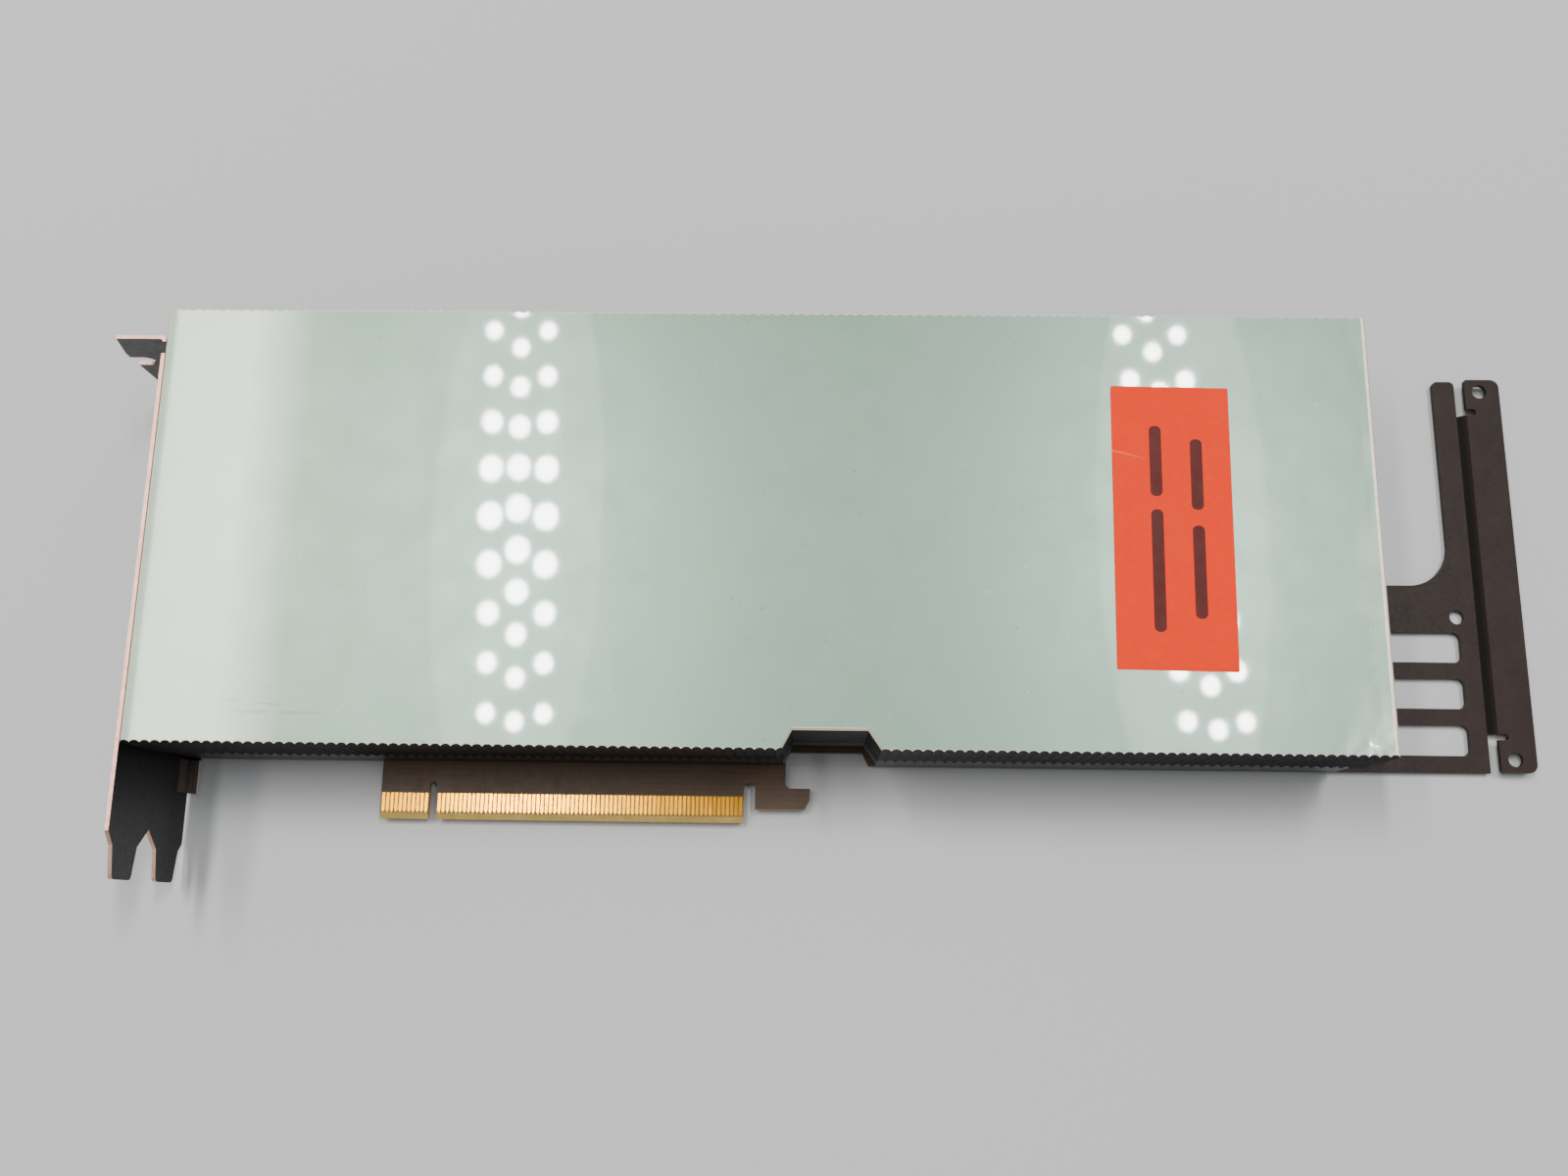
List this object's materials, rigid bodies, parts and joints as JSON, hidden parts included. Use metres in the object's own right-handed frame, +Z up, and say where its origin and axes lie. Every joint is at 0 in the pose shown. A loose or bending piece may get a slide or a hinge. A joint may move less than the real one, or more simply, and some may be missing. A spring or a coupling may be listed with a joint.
{
  "type": "passive accelerator card",
  "caption": "Full-height dual-slot passive accelerator card with fluted cover, edge connector, slotted bracket and a full-length extender bracket.",
  "frame": {"origin": "middle of the whole card on the surface that its backplate rests on", "axes": "+X from the I/O bracket to the extender bracket, +Y from the edge connector to the bracket's top flange, +Z up through the cooler"},
  "size_m": [0.327, 0.1264, 0.0386],
  "materials": {
    "cover": "satin black, with a pale champagne face",
    "film": "thin clear film, glossy, a little milky",
    "label": "coated paper, orange with dark brown bars",
    "board": "matte solder mask",
    "gold": "bright gold plating",
    "frame": "satin black",
    "substrate": "matte",
    "stiffener": "nickel plated",
    "silicon": "polished",
    "interface": "soft grey",
    "chamber": "nickel plated copper",
    "fins": "mill finish",
    "ferrite": "grey ferrite",
    "chip": "moulded black",
    "can": "bright can",
    "connector": "black nylon",
    "backplate": "satin black",
    "insulator": "black sheet",
    "screw": "black zinc",
    "bracket": "black coat, bright cut edges",
    "extender": "satin brown black"
  },
  "bodies": {
    "root": {"cover": "cover", "protective_film": "film", "film_label": "label", "circuit_board": "board", "front_contacts": "gold", "rear_contacts": "gold", "heatsink_frame": "frame", "package_substrate": "substrate", "package_stiffener": "stiffener", "processor_die": "silicon", "memory_stacks": "silicon", "thermal_interface": "interface", "vapour_chamber": "chamber", "fin_stack": "fins", "power_chokes": "ferrite", "thermal_pads": "interface", "power_stages": "chip", "input_chokes": "ferrite", "polymer_capacitors": "can", "controller_chips": "chip", "management_chip": "chip", "power_connector": "connector", "power_pins": "gold", "backplate": "backplate", "insulating_sheet": "insulator", "frame_screws": "screw", "io_bracket": "bracket", "bracket_screws": "screw", "extender_bracket": "extender", "extender_screws": "screw"}
  },
  "joints": []
}
